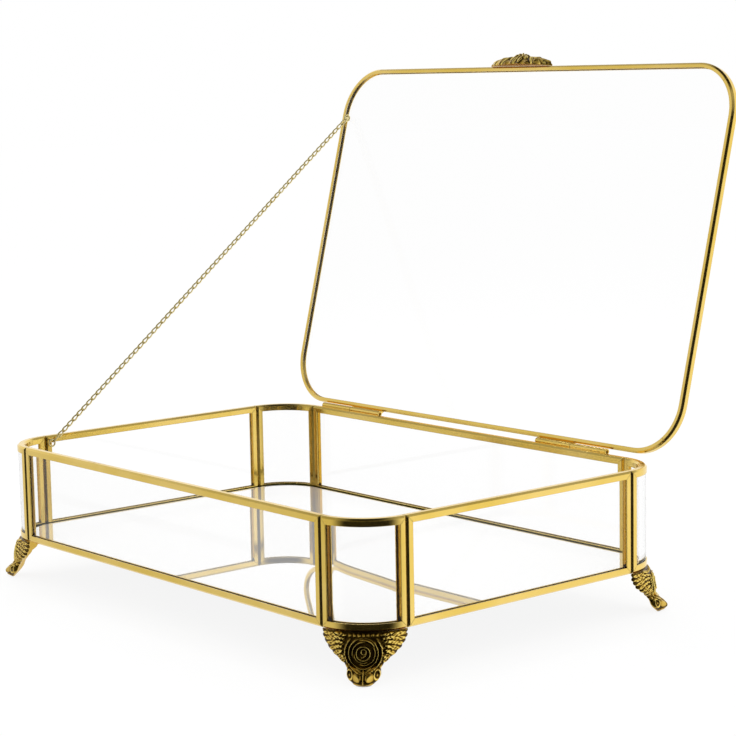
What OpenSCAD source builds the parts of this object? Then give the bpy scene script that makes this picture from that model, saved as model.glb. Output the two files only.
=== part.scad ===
// Glass casket box: flat and curved panes in brass channel frames on a mirror
// floor, four cast corner feet, and a hinged glass lid held open by a stay chain.
// Millimetres. +X runs along the hinge, -Y is the front, +Z is up, and the origin
// is the centre of the mirror's upper face. The lid is drawn open on its chain.

/* [Box] */
// Outer width of the box along the hinge
box_w = 280; // [220:1:340]
// Outer depth of the box from front to back
box_d = 185; // [150:1:230]
// Height of the glazed walls, channel included
wall_h = 47; // [36:1:70]
// Outer radius of the rounded corners
corner_r = 25.4; // [20:0.1:34]
// Gap between neighbouring wall frames, filled by solder
seam = 0.1; // [0.06:0.01:0.2]

/* [Brass channel] */
// Width of the walls' channel, from its back to its lips
came_w = 3.3; // [2.8:0.1:4]
// Width of the lid's channel
lid_came_w = 2.4; // [2.2:0.1:3.4]
// Thickness of the channel's sheet
came_wall = 0.45; // [0.4:0.05:0.6]
// Bevel on the channel's two long back edges
came_bevel = 0.9; // [0.5:0.05:1]
// Gap left in a mitred joint
mitre_gap = 0.08; // [0.06:0.01:0.15]

/* [Glass] */
// Thickness of the panes
glass_t = 3; // [2:0.1:4]
// Play between a pane and each lip of its channel
glass_play = 0.05; // [0.04:0.01:0.12]
// Play between a pane's edge and the bottom of its channel
edge_play = 0.2; // [0.1:0.05:0.5]

/* [Floor] */
// Thickness of the mirror
mirror_t = 2; // [1.5:0.1:3]
// Thickness of the felt-faced sheet under the mirror
backing_t = 0.5; // [0.3:0.05:0.8]
// Play between the floor and the walls
floor_play = 0.2; // [0.1:0.05:0.4]
// Margin of the felt left free round the mirror
mirror_margin = 1.3; // [0.5:0.1:2]
// Extra corner radius ground off the mirror
mirror_relief = 3; // [0:0.5:5]

/* [Lid and hinges] */
// Angle of the lid when its chain is taut, from closed
lid_open = 104.5; // [80:0.5:115]
// Gap between the closed lid and the walls
lid_gap = 0.6; // [0.4:0.1:1]
// Distance of each hinge's middle from the box's end
hinge_inset = 58; // [54:1:70]
// Offset of the hinge pair and the flower from the box's middle, as they were soldered
fitting_shift = -6; // [-10:0.5:10]
// Length of one hinge tube
tube_l = 23.2; // [16:0.2:26]
// Outer radius of a hinge tube
tube_r = 1.4; // [1.3:0.1:2]
// Gap between two tubes on one pin
tube_gap = 0.2; // [0.1:0.05:0.5]
// Radius of the hinge pin
pin_r = 0.8; // [0.5:0.05:0.85]
// Running clearance of the pin in its tubes
pin_play = 0.05; // [0.03:0.01:0.08]
// Height of the hinge axis above the walls
hinge_rise = 0.3; // [0.2:0.1:0.8]
// Clearance from the tubes to the backs of the rails
hinge_set = 0.2; // [0.1:0.05:0.4]

/* [Feet] */
// Height of the feet below the walls
foot_h = 21; // [16:0.5:28]
// Thickness of the cast plate
foot_t = 2.4; // [1.8:0.1:3]
// How far the toe reaches out from the corner
toe_out = 10.2; // [7:0.2:13]
// How far the shoulder swells from the corner
shoulder_out = 1.9; // [1:0.1:3]
// Half width of the plate at the top
foot_half_w = 17.8; // [14:0.2:20]
// Half width of the plate at its waist
waist_half_w = 7; // [5.5:0.1:9]
// Half width of the toe
toe_half_w = 2.8; // [2.2:0.1:4.5]
// Radius of the medallion on the plate
medallion_r = 6.4; // [4:0.1:8]
// Drop of the medallion's centre below the walls
medallion_drop = 7.2; // [6.5:0.1:9]

/* [Ornament] */
// Width of the flower on the lid's front edge
flower_w = 44; // [34:1:60]
// Height of its middle above its back
flower_relief = 6.9; // [5:0.1:8]
// Extent of its leaves across the lid's edge
flower_h = 12; // [9:0.5:15]

/* [Stay chain] */
// Distance of both chain eyes from the front of the box
stay_set = 27.8; // [27:0.2:60]
// Number of links
link_count = 66; // [50:1:80]
// Diameter of the link wire
link_wire = 0.72; // [0.5:0.02:0.8]
// Outer width of a link
link_w = 3; // [2.7:0.05:3.6]
// Middle radius of the two eyes
eye_r = 1.7; // [1.5:0.05:2.2]
// Wire radius of the two eyes
eye_wire_r = 0.4; // [0.3:0.02:0.5]

/* [Hidden] */
$fn = 96;
came_t = glass_t + 2 * (glass_play + came_wall);
floor_z = backing_t + mirror_t;           // mirror's upper face above the walls' foot
lid_z = wall_h + lid_gap;                 // underside of the closed lid
hinge_y = box_d / 2 + tube_r + hinge_set;
hinge_z = wall_h + hinge_rise;
corner_x = box_w / 2 - corner_r;
corner_y = box_d / 2 - corner_r;
span_x = 2 * corner_x - seam;             // length of the front and back frames
span_y = 2 * corner_y - seam;             // length of the side frames
inner_bevel = max(0, came_bevel - came_wall * (2 - sqrt(2)));
pane_inset = came_wall + inner_bevel + edge_play;   // from a channel's back to the pane's edge
hinge_x = box_w / 2 - hinge_inset;
eps = 0.01;

// Chain: both eyes stand in the lid's swing plane, clear of each other when closed
eye_y = -box_d / 2 + stay_set;
eye_stand = link_w / 2 - eye_wire_r + 0.2;   // from the rail to the eye's wire
box_eye = [-box_w / 2 + came_t + eye_stand + eye_wire_r, eye_y, wall_h - came_w - 0.2];
lid_eye_closed = [box_eye[0] + 2 * eye_wire_r + 0.35, eye_y,
                  lid_z + 0.4 - eye_r - eye_wire_r];
function swing(p, a) = [p[0],
    hinge_y + (p[1] - hinge_y) * cos(a) + (p[2] - hinge_z) * sin(a),
    hinge_z - (p[1] - hinge_y) * sin(a) + (p[2] - hinge_z) * cos(a)];
lid_eye = swing(lid_eye_closed, lid_open);
stay = lid_eye - box_eye;
stay_l = norm(stay);
stay_dir = stay / stay_l;
stay_side = cross([1, 0, 0], stay_dir) / norm(cross([1, 0, 0], stay_dir));
stay_flat = cross(stay_dir, stay_side);
link_play = 0.05;
link_reach = link_wire + link_play;       // how far neighbouring links overlap
hook = eye_r - eye_wire_r - link_wire / 2 - link_play;   // from an eye's centre to the end link
link_pitch = (stay_l - 2 * hook - link_reach) / link_count;
link_half_l = (link_pitch + link_reach) / 2;
link_half_w = (link_w - link_wire) / 2;

BRASS = "#d9b84c";
BRIGHT = "#e6c860";
GLASS = [0.86, 0.94, 0.93, 0.3];

// Placing

// From heights above the walls' foot to the part's frame
module floor_frame() {
    translate([0, 0, -floor_z]) children();
}

// Moves a piece of the closed lid to the open rest pose
module lid_pose() {
    floor_frame() translate([0, hinge_y, hinge_z]) rotate([-lid_open, 0, 0])
        translate([0, -hinge_y, -hinge_z]) children();
}

// The panel's outer face is local y = 0 and its left end x = 0, for side 0 to 3:
// front, right, back, left
module on_side(side) {
    length = side % 2 == 0 ? span_x : span_y;
    depth = side % 2 == 0 ? box_d : box_w;
    floor_frame() rotate([0, 0, 90 * side]) translate([-length / 2, -depth / 2, 0]) children();
}

// The corner's axis is local Z and its arc runs from 0 to 90 degrees
module on_corner(turn) {
    sx = (turn == 0 || turn == 270) ? 1 : -1;
    sy = (turn == 0 || turn == 90) ? 1 : -1;
    floor_frame() translate([sx * corner_x, sy * corner_y, 0]) rotate([0, 0, turn]) children();
}

function side_span(side) = side % 2 == 0 ? span_x : span_y;

// Straight channel

// Cross-section: x across the pane, y from the channel's back to its lips
module came_section(w = came_w) {
    t = came_t;
    c = came_wall;
    b = came_bevel;
    i = inner_bevel;
    polygon([[b, 0], [t - b, 0], [t, b], [t, w], [t - c, w], [t - c, c + i], [t - c - i, c],
             [c + i, c], [c, c + i], [c, w], [0, w], [0, b]]);
}

// A mitred channel along +X with its back down and its outer face at y = 0
module came_bar(length) {
    intersection() {
        rotate([90, 0, 90]) linear_extrude(length) came_section();
        translate([0, came_t + 1, 0]) rotate([90, 0, 0]) linear_extrude(came_t + 2)
            polygon([[mitre_gap / 2, 0], [length - mitre_gap / 2, 0],
                     [length - mitre_gap / 2 - came_w - eps, came_w + eps],
                     [mitre_gap / 2 + came_w + eps, came_w + eps]]);
    }
}

module panel_rail(side, top) {
    color(BRASS) on_side(side) {
        if (top) translate([0, 0, wall_h]) mirror([0, 0, 1]) came_bar(side_span(side));
        else came_bar(side_span(side));
    }
}

module panel_stile(side, far) {
    color(BRASS) on_side(side) {
        if (far) translate([side_span(side), 0, 0]) rotate([0, -90, 0]) came_bar(wall_h);
        else mirror([1, 0, 0]) rotate([0, -90, 0]) came_bar(wall_h);
    }
}

module panel_pane(side) {
    color(GLASS) on_side(side)
        translate([pane_inset, came_wall + glass_play, pane_inset])
            cube([side_span(side) - 2 * pane_inset, glass_t, wall_h - 2 * pane_inset]);
}

// Curved corner channel

// Keeps what lies above the mitre plane at the arc's 0 degree end
module curved_mitre() {
    s = seam / 2 + mitre_gap / 2;
    far = corner_r + 1;
    rotate([90, 0, 90]) linear_extrude(corner_r + 1)
        polygon([[s, -eps], [s, 0], [s + came_w, came_w], [s + came_w + eps, came_w + eps],
                 [far, came_w + eps], [far, -eps]]);
}

module curved_bar() {
    intersection() {
        rotate_extrude(angle = 90) translate([corner_r, 0]) mirror([1, 0]) came_section();
        curved_mitre();
        mirror([1, -1, 0]) curved_mitre();
    }
}

module corner_rail(turn, top) {
    color(BRASS) on_corner(turn) {
        if (top) translate([0, 0, wall_h]) mirror([0, 0, 1]) curved_bar();
        else curved_bar();
    }
}

// Plan of a corner stile: the channel's back lies along the seam at y = 0
module corner_stile_plan() {
    difference() {
        intersection() {
            difference() {
                circle(corner_r);
                circle(corner_r - came_t);
            }
            translate([0, seam / 2]) square([corner_r + 1, came_w]);
        }
        difference() {
            intersection() {
                difference() {
                    circle(corner_r - came_wall);
                    circle(corner_r - came_t + came_wall);
                }
                translate([0, seam / 2 + came_wall]) square(corner_r);
            }
            for (r = [corner_r - came_wall, corner_r - came_t + came_wall])
                translate([r, seam / 2 + came_wall]) rotate(45)
                    square(inner_bevel * sqrt(2), center = true);
        }
        for (r = [corner_r, corner_r - came_t])
            translate([r, seam / 2]) rotate(45) square(came_bevel * sqrt(2), center = true);
    }
}

module corner_bar() {
    s = seam / 2;
    g = mitre_gap / 2;
    intersection() {
        linear_extrude(wall_h) corner_stile_plan();
        rotate([90, 0, 90]) linear_extrude(corner_r + 1)
            polygon([[s, g], [s + came_w + eps, came_w + g + eps],
                     [s + came_w + eps, wall_h - came_w - g - eps], [s, wall_h - g]]);
    }
}

module corner_stile(turn, far) {
    color(BRASS) on_corner(turn) {
        if (far) mirror([1, -1, 0]) corner_bar();
        else corner_bar();
    }
}

module corner_pane(turn) {
    outer = corner_r - came_wall - glass_play;
    skip = asin((seam / 2 + pane_inset) / (outer - glass_t));
    color(GLASS) on_corner(turn) translate([0, 0, pane_inset])
        rotate([0, 0, skip]) rotate_extrude(angle = 90 - 2 * skip)
            translate([outer - glass_t, 0]) square([glass_t, wall_h - 2 * pane_inset]);
}

// Floor

module rounded_plan(w, d, r) {
    square([w - 2 * r, d], center = true);
    square([w, d - 2 * r], center = true);
    for (sx = [-1, 1], sy = [-1, 1])
        translate([sx * (w / 2 - r), sy * (d / 2 - r)]) circle(r);
}

module floor_sheet(z, t, relief, margin = 0) {
    inset = came_t + floor_play + margin;
    floor_frame() translate([0, 0, z]) linear_extrude(t)
        rounded_plan(box_w - 2 * inset, box_d - 2 * inset, corner_r - inset + relief);
}

module mirror_floor() {
    color("#c9d0d2") floor_sheet(backing_t, mirror_t, mirror_relief, mirror_margin);
}

module mirror_backing() {
    color("#1d1b1a") floor_sheet(0, backing_t, 0);
}

// Feet

// Offset of the plate's outer face from the corner's face, at depth t from 0 to 1
function foot_out(t) = -0.3 + shoulder_out * sin(180 * min(1, t / 0.72))
    + (toe_out + 0.3) * pow(max(0, (t - 0.32) / 0.68), 1.9);
// Half width of the plate at depth t: leaves down to the waist, then the toe's rounding
function foot_half(t) = waist_half_w
    + (foot_half_w - waist_half_w) * (1 + cos(180 * min(1, t / 0.75))) / 2
    - (waist_half_w - toe_half_w) * pow(max(0, (t - 0.7) / 0.3), 1.6);

// The plate in section: x from the corner's axis, y up
module foot_section() {
    n = 13;
    outer = [for (i = [0:n]) [corner_r + foot_out(i / n), -foot_h * i / n]];
    inner = [for (i = [n:-1:0]) [corner_r + foot_out(i / n) - foot_t * (1 + 0.9 * pow(i / n, 3)),
                                 -foot_h * i / n]];
    polygon(concat(outer, inner));
}

// The plate seen from outside along the diagonal: x across, y up
module foot_outline() {
    n = 12;
    half = [for (i = [0:n]) [foot_half(i / n), -foot_h * i / n]];
    polygon(concat(half, [for (i = [n:-1:0]) [-half[i][0], half[i][1]]]));
}

module foot_plate() {
    intersection() {
        rotate_extrude(angle = 90) foot_section();
        rotate([0, 0, 45]) rotate([90, 0, 90]) linear_extrude(corner_r + toe_out + 5) foot_outline();
    }
}

// Rose medallion: a domed disc in a rope ring, leaning with the plate
module foot_medallion() {
    t = medallion_drop / foot_h;
    rise = 1.6;
    dome = (medallion_r * medallion_r + rise * rise) / (2 * rise);
    rotate([0, 0, 45]) translate([corner_r + foot_out(t) - 0.5, 0, -medallion_drop])
        rotate([0, 84, 0]) {
            intersection() {
                translate([0, 0, rise + 0.3 - dome]) sphere(dome);
                translate([0, 0, -0.8]) cylinder(r = medallion_r - 0.9, h = 4);
            }
            rotate_extrude() translate([medallion_r - 1, 0.5]) circle(1);
            translate([0, 0, -0.8]) cylinder(r = medallion_r - 1, h = 1.3);
            translate([0, 0, 0.8]) sphere(1.9);
        }
}

module foot(turn) {
    color(BRIGHT) on_corner(turn) union() {
        foot_plate();
        foot_medallion();
    }
}

// Lid

// The channel swept round the lid: four sides and four corners
module lid_ring() {
    translate([0, 0, lid_z]) union() {
        for (side = [0:3]) {
            run = 2 * (side % 2 == 0 ? corner_x : corner_y);
            depth = side % 2 == 0 ? box_d : box_w;
            rotate([0, 0, 90 * side]) translate([-run / 2, -depth / 2, 0])
                rotate([90, 0, 90]) linear_extrude(run) mirror([1, -1]) came_section(lid_came_w);
        }
        for (turn = [0:90:270]) {
            sx = (turn == 0 || turn == 270) ? 1 : -1;
            sy = (turn == 0 || turn == 90) ? 1 : -1;
            translate([sx * corner_x, sy * corner_y, 0]) rotate([0, 0, turn])
                rotate_extrude(angle = 90) translate([corner_r, 0]) rotate(90)
                    came_section(lid_came_w);
        }
    }
}

// Plan of the right end of the lid, out to butt joints in the middle of its corners
module lid_end_plan(grow) {
    s = corner_r;
    polygon([[corner_x, -corner_y - grow], [corner_x + s, -corner_y - s - grow],
             [corner_x + s, corner_y + s + grow], [corner_x, corner_y + grow]]);
}

module lid_frame() {
    color(BRASS) lid_pose() difference() {
        lid_ring();
        translate([0, 0, lid_z - 1]) linear_extrude(came_t + 2) lid_end_plan(mitre_gap);
    }
}

module lid_frame_end() {
    color(BRASS) lid_pose() intersection() {
        lid_ring();
        translate([0, 0, lid_z - 1]) linear_extrude(came_t + 2) lid_end_plan(0);
    }
}

module lid_glass() {
    color(GLASS) lid_pose() translate([0, 0, lid_z + came_wall + glass_play])
        linear_extrude(glass_t)
            rounded_plan(box_w - 2 * pane_inset, box_d - 2 * pane_inset, corner_r - pane_inset);
}

// A leaf lying on z = 0 along +X: two arcs in plan, domed on top
module leaf(length, width, rise) {
    arc_r = (length * length / 4 + width * width / 4) / width;
    dome = (length * length / 4 + rise * rise) / (2 * rise);
    intersection() {
        linear_extrude(rise + 1) intersection() {
            translate([length / 2, arc_r - width / 2]) circle(arc_r);
            translate([length / 2, width / 2 - arc_r]) circle(arc_r);
        }
        translate([length / 2, 0, rise - dome]) sphere(dome);
    }
}

// Rose with leaves, flat behind, on the web of the lid's front edge
module lid_flower() {
    stand = 0.4;                       // keeps its back clear of the wall below
    z = lid_z + came_t / 2;
    rose_r = flower_h * 0.52;
    color(BRIGHT) lid_pose() translate([fitting_shift, -box_d / 2 - stand, z]) rotate([90, 0, 0]) union() {
        for (side = [0, 180]) rotate([0, 0, side]) {
            translate([2, 0, 0]) leaf(flower_w / 2 - 2, flower_h * 0.5, flower_relief * 0.5);
            rotate([0, 0, 24]) translate([2, 0, 0])
                leaf(flower_w * 0.36, flower_h * 0.36, flower_relief * 0.62);
            rotate([0, 0, -24]) translate([2, 0, 0])
                leaf(flower_w * 0.36, flower_h * 0.36, flower_relief * 0.62);
        }
        cylinder(r = rose_r, h = flower_relief * 0.45);
        translate([0, 0, flower_relief * 0.45]) cylinder(r = rose_r * 0.78, h = flower_relief * 0.2);
        intersection() {
            translate([0, 0, flower_relief - rose_r * 0.72]) sphere(rose_r * 0.72);
            cylinder(r = rose_r, h = flower_relief + 1);
        }
        translate([-flower_w * 0.2, -came_t * 0.35, -stand]) cube([flower_w * 0.4, came_t * 0.7, stand + 0.5]);
    }
}

// Hinges

// Tube along X from x0, with the solder bed that joins it to its rail's back
module hinge_tube(x0, on_lid) {
    back = box_d / 2;
    bed = on_lid
        ? [[back, hinge_z - 0.1], [back, lid_z + came_t / 2 + 0.4],
           [hinge_y - 0.4, hinge_z + tube_r * 0.92], [hinge_y, hinge_z + pin_r + 0.2],
           [hinge_y, hinge_z - 0.1]]
        : [[back, wall_h - 0.15], [hinge_y, hinge_z], [hinge_y, hinge_z - pin_r - 0.2],
           [hinge_y - 0.3, hinge_z - tube_r * 0.9], [back, wall_h - 2.4]];
    difference() {
        union() {
            translate([x0, hinge_y, hinge_z]) rotate([0, 90, 0]) cylinder(r = tube_r, h = tube_l);
            translate([x0, 0, 0]) rotate([90, 0, 90]) linear_extrude(tube_l) polygon(bed);
        }
        translate([x0 - 1, hinge_y, hinge_z]) rotate([0, 90, 0])
            cylinder(r = pin_r + pin_play, h = tube_l + 2);
    }
}

// The box's tubes lie outboard, the lid's inboard
module box_tube(side) {
    x0 = side > 0 ? hinge_x + tube_gap / 2 : -hinge_x - tube_gap / 2 - tube_l;
    color(BRASS) floor_frame() hinge_tube(x0 + fitting_shift, false);
}

module lid_tube(side) {
    x0 = side > 0 ? hinge_x - tube_gap / 2 - tube_l : -hinge_x + tube_gap / 2;
    color(BRASS) lid_pose() hinge_tube(x0 + fitting_shift, true);
}

module hinge_pin(side) {
    l = 2 * tube_l + tube_gap - 2;
    color("#b8902c") floor_frame()
        translate([side * hinge_x + fitting_shift - l / 2, hinge_y, hinge_z])
        rotate([0, 90, 0]) cylinder(r = pin_r, h = l);
}

// Stay chain

module eye_ring(c) {
    translate(c) rotate([0, 90, 0]) rotate_extrude() translate([eye_r, 0]) circle(eye_wire_r, $fn = 32);
}

module box_chain_eye() {
    pad = 1.8;
    color(BRASS) floor_frame() union() {
        eye_ring(box_eye);
        translate([box_eye[0] - eye_wire_r - eye_stand, box_eye[1] - pad / 2, box_eye[2] + eye_r - 0.2])
            cube([eye_wire_r + eye_stand, pad, 0.6]);
    }
}

module lid_chain_eye() {
    tab = 2.2;
    lip = -box_w / 2 + lid_came_w;
    color(BRASS) lid_pose() union() {
        eye_ring(lid_eye_closed);
        translate([lip, eye_y - tab / 2, lid_z + 0.05]) cube([lid_eye_closed[0] - lip, tab, 0.35]);
    }
}

// Middle line of a twisted link, a from 0 to 360, whose plane turns about the chain
// from tilt p at its lower end to tilt q at its upper end
function link_point(a, p, q) =
    let (u = link_half_l * sign(cos(a)) * pow(abs(cos(a)), 0.8),
         w = link_half_w * sign(sin(a)) * pow(abs(sin(a)), 0.8),
         tilt = p + (q - p) * (u / link_half_l + 1) / 2)
    u * stay_dir + w * (cos(tilt) * stay_side + sin(tilt) * stay_flat);

// One link as a closed tube of flat facets
module chain_link(c, p, q, steps = 12, sides = 5) {
    ring = [for (i = [0:steps - 1])
        let (a = 360 * i / steps, m = link_point(a, p, q),
             d = link_point(a + 1, p, q) - link_point(a - 1, p, q), t = d / norm(d),
             n0 = cross(t, stay_flat), n = n0 / norm(n0), b = cross(t, n))
        for (j = [0:sides - 1])
            c + m + link_wire / 2 * (cos(360 * j / sides) * n + sin(360 * j / sides) * b)];
    faces = [for (i = [0:steps - 1], j = [0:sides - 1])
        let (i2 = (i + 1) % steps, j2 = (j + 1) % sides,
             k = i * sides + j, l = i * sides + j2, m = i2 * sides + j2, n = i2 * sides + j)
        each [[k, l, m], [k, m, n]]];
    polyhedron(ring, faces);
}

// Each link turns from -45 to 45 degrees, so its ends cross its neighbours squarely;
// the end links turn on to cross the two eyes squarely
module stay_chain() {
    last = link_count - 1;
    color("#c8b25a") floor_frame()
        for (i = [0:last])
            chain_link(box_eye + stay_dir * (hook + link_half_l + link_pitch * i),
                       i == 0 ? 90 : -45, i == last ? -90 : 45);
}

// Nodes

module front_top_rail() panel_rail(0, true);
module front_bottom_rail() panel_rail(0, false);
module front_left_stile() panel_stile(0, false);
module front_right_stile() panel_stile(0, true);
module front_glass() panel_pane(0);
module right_top_rail() panel_rail(1, true);
module right_bottom_rail() panel_rail(1, false);
module right_front_stile() panel_stile(1, false);
module right_back_stile() panel_stile(1, true);
module right_glass() panel_pane(1);
module back_top_rail() panel_rail(2, true);
module back_bottom_rail() panel_rail(2, false);
module back_right_stile() panel_stile(2, false);
module back_left_stile() panel_stile(2, true);
module back_glass() panel_pane(2);
module left_top_rail() panel_rail(3, true);
module left_bottom_rail() panel_rail(3, false);
module left_back_stile() panel_stile(3, false);
module left_front_stile() panel_stile(3, true);
module left_glass() panel_pane(3);
module corner_fl_top_rail() corner_rail(180, true);
module corner_fl_bottom_rail() corner_rail(180, false);
module corner_fl_stile_a() corner_stile(180, false);
module corner_fl_stile_b() corner_stile(180, true);
module corner_fl_glass() corner_pane(180);
module foot_fl() foot(180);
module corner_fr_top_rail() corner_rail(270, true);
module corner_fr_bottom_rail() corner_rail(270, false);
module corner_fr_stile_a() corner_stile(270, false);
module corner_fr_stile_b() corner_stile(270, true);
module corner_fr_glass() corner_pane(270);
module foot_fr() foot(270);
module corner_br_top_rail() corner_rail(0, true);
module corner_br_bottom_rail() corner_rail(0, false);
module corner_br_stile_a() corner_stile(0, false);
module corner_br_stile_b() corner_stile(0, true);
module corner_br_glass() corner_pane(0);
module foot_br() foot(0);
module corner_bl_top_rail() corner_rail(90, true);
module corner_bl_bottom_rail() corner_rail(90, false);
module corner_bl_stile_a() corner_stile(90, false);
module corner_bl_stile_b() corner_stile(90, true);
module corner_bl_glass() corner_pane(90);
module foot_bl() foot(90);
module hinge_left_box_tube() box_tube(-1);
module hinge_left_lid_tube() lid_tube(-1);
module hinge_left_pin() hinge_pin(-1);
module hinge_right_box_tube() box_tube(1);
module hinge_right_lid_tube() lid_tube(1);
module hinge_right_pin() hinge_pin(1);

front_top_rail();
front_bottom_rail();
front_left_stile();
front_right_stile();
back_top_rail();
back_bottom_rail();
back_left_stile();
back_right_stile();
left_top_rail();
left_bottom_rail();
left_front_stile();
left_back_stile();
right_top_rail();
right_bottom_rail();
right_front_stile();
right_back_stile();
corner_fl_top_rail();
corner_fl_bottom_rail();
corner_fl_stile_a();
corner_fl_stile_b();
corner_fr_top_rail();
corner_fr_bottom_rail();
corner_fr_stile_a();
corner_fr_stile_b();
corner_br_top_rail();
corner_br_bottom_rail();
corner_br_stile_a();
corner_br_stile_b();
corner_bl_top_rail();
corner_bl_bottom_rail();
corner_bl_stile_a();
corner_bl_stile_b();
front_glass();
back_glass();
left_glass();
right_glass();
corner_fl_glass();
corner_fr_glass();
corner_br_glass();
corner_bl_glass();
mirror_floor();
mirror_backing();
foot_fl();
foot_fr();
foot_br();
foot_bl();
lid_frame();
lid_frame_end();
lid_glass();
lid_flower();
hinge_left_box_tube();
hinge_left_lid_tube();
hinge_left_pin();
hinge_right_box_tube();
hinge_right_lid_tube();
hinge_right_pin();
box_chain_eye();
lid_chain_eye();
stay_chain();
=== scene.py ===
"""Dresses the glass casket box: brass channel, cast feet and flower, curb chain, glass and mirror.

Lengths are in metres in the part's own frame: +X along the hinge, -Y to the front, +Z up, with
the origin at the centre of the mirror's upper face. Sizes named in millimetres end in _mm.
"""

from __future__ import annotations

import logging
import math
from dataclasses import dataclass, field
from enum import Enum
from typing import Any

import bpy
import numpy as np
from mathutils import Matrix, Vector

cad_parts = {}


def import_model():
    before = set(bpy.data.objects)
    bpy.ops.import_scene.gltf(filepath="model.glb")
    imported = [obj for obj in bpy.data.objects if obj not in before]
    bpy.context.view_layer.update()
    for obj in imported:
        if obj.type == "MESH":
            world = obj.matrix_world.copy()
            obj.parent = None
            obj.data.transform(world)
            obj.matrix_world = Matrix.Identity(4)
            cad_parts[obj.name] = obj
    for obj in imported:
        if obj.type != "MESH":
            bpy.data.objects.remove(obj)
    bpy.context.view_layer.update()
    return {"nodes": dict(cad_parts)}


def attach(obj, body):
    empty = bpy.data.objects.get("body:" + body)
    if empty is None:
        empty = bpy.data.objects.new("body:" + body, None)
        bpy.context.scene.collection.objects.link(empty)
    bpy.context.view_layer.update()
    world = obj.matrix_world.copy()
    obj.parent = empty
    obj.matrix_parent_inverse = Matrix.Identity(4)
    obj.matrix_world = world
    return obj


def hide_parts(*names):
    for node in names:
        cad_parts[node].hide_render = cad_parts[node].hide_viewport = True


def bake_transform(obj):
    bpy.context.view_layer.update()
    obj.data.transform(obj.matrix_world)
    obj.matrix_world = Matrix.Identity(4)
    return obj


LOG = logging.getLogger("casket")
MM = 0.001

Tree = bpy.types.NodeTree
Socket = bpy.types.NodeSocket
Pair = tuple[float, float]
Colour = tuple[float, float, float, float]  # linear red, green and blue, and alpha
WHITE: Colour = (1.0, 1.0, 1.0, 1.0)


class Body(Enum):
    """The two rigid bodies of the part."""

    BOX = "box"
    LID = "lid"


class Slot(Enum):
    """The record's material slots for the cast brass and the chain brass; nothing in the script
    uses them.
    """

    CAST = "cast_brass"
    CHAIN = "chain_brass"


# ---------- colours and nodes


def linear(hex_code: str) -> Colour:
    """Turn an sRGB colour, written as six hex digits after a hash, into a linear one."""
    code = hex_code.lstrip("#")
    srgb = [int(code[i : i + 2], 16) / 255 for i in (0, 2, 4)]
    r, g, b = (c / 12.92 if c <= 0.04045 else ((c + 0.055) / 1.055) ** 2.4 for c in srgb)
    return (r, g, b, 1.0)


def add_node(tree: Tree, kind: str, settings: dict[Any, Any] | None = None,
             links: dict[Any, Socket] | None = None) -> bpy.types.Node:
    """Add a node, set its properties and inputs, and link its inputs.

    Args:
        tree: the node tree to add to.
        kind: the node's type name.
        settings: property names or input names and numbers, with their values.
        links: input names or numbers, with the sockets that feed them.

    Returns:
        The new node.
    """
    node = tree.nodes.new(kind)
    for key, value in (settings or {}).items():
        if isinstance(key, str) and hasattr(node, key):
            setattr(node, key, value)
        else:
            node.inputs[key].default_value = value
    for key, socket in (links or {}).items():
        tree.links.new(socket, node.inputs[key])
    return node


def new_material(name: str) -> tuple[bpy.types.Material, Tree]:
    """Make an empty node material.

    Args:
        name: the material's name.

    Returns:
        The material and its node tree.
    """
    material = bpy.data.materials.new(name)
    material.use_nodes = True
    material.node_tree.nodes.clear()
    return material, material.node_tree


def finish_tree(tree: Tree, surface: Socket) -> None:
    """Link a shader to the material's output."""
    add_node(tree, "ShaderNodeOutputMaterial", links={"Surface": surface})


def ramp(tree: Tree, factor: Socket, stops: list[tuple[float, Colour]]) -> Socket:
    """Map a factor onto a run of colours.

    Args:
        tree: the node tree.
        factor: the socket to map.
        stops: positions from 0 to 1 and their linear colours.

    Returns:
        The colour socket.
    """
    node = add_node(tree, "ShaderNodeValToRGB", links={"Fac": factor})
    elements = node.color_ramp.elements
    while len(elements) > 1:
        elements.remove(elements[-1])
    elements[0].position, elements[0].color = stops[0]
    for position, colour in stops[1:]:
        elements.new(position).color = colour
    return node.outputs["Color"]


def stretch(tree: Tree, value: Socket, source: Pair, target: Pair = (0.0, 1.0),
            kind: str = "LINEAR") -> Socket:
    """Map a value from the range source onto the range target, and clamp it there."""
    return add_node(tree, "ShaderNodeMapRange",
                    {"interpolation_type": kind, "From Min": source[0], "From Max": source[1],
                     "To Min": target[0], "To Max": target[1]}, {"Value": value}).outputs["Result"]


def noise(tree: Tree, place: Socket, size_mm: float, detail: float = 2.0,
          roughness: float = 0.5) -> Socket:
    """Soft noise whose patches are about size_mm long."""
    return add_node(tree, "ShaderNodeTexNoise",
                    {"Scale": 1 / (size_mm * MM), "Detail": detail, "Roughness": roughness},
                    {"Vector": place}).outputs["Fac"]


def bump(tree: Tree, height: Socket, depth_mm: float, strength: float = 1.0,
         normal: Socket | None = None) -> Socket:
    """A normal, or the given one, tilted as if the surface rose by depth_mm times the height."""
    links = {"Height": height} if normal is None else {"Height": height, "Normal": normal}
    return add_node(tree, "ShaderNodeBump", {"Strength": strength, "Distance": depth_mm * MM},
                    links).outputs["Normal"]


def mixed(tree: Tree, factor: Socket, first: bpy.types.Node,
          second: bpy.types.Node) -> bpy.types.Node:
    """Mix two shader nodes: only the first at factor 0, only the second at factor 1."""
    return add_node(tree, "ShaderNodeMixShader",
                    links={0: factor, 1: first.outputs[0], 2: second.outputs[0]})


# ---------- finishes


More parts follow.
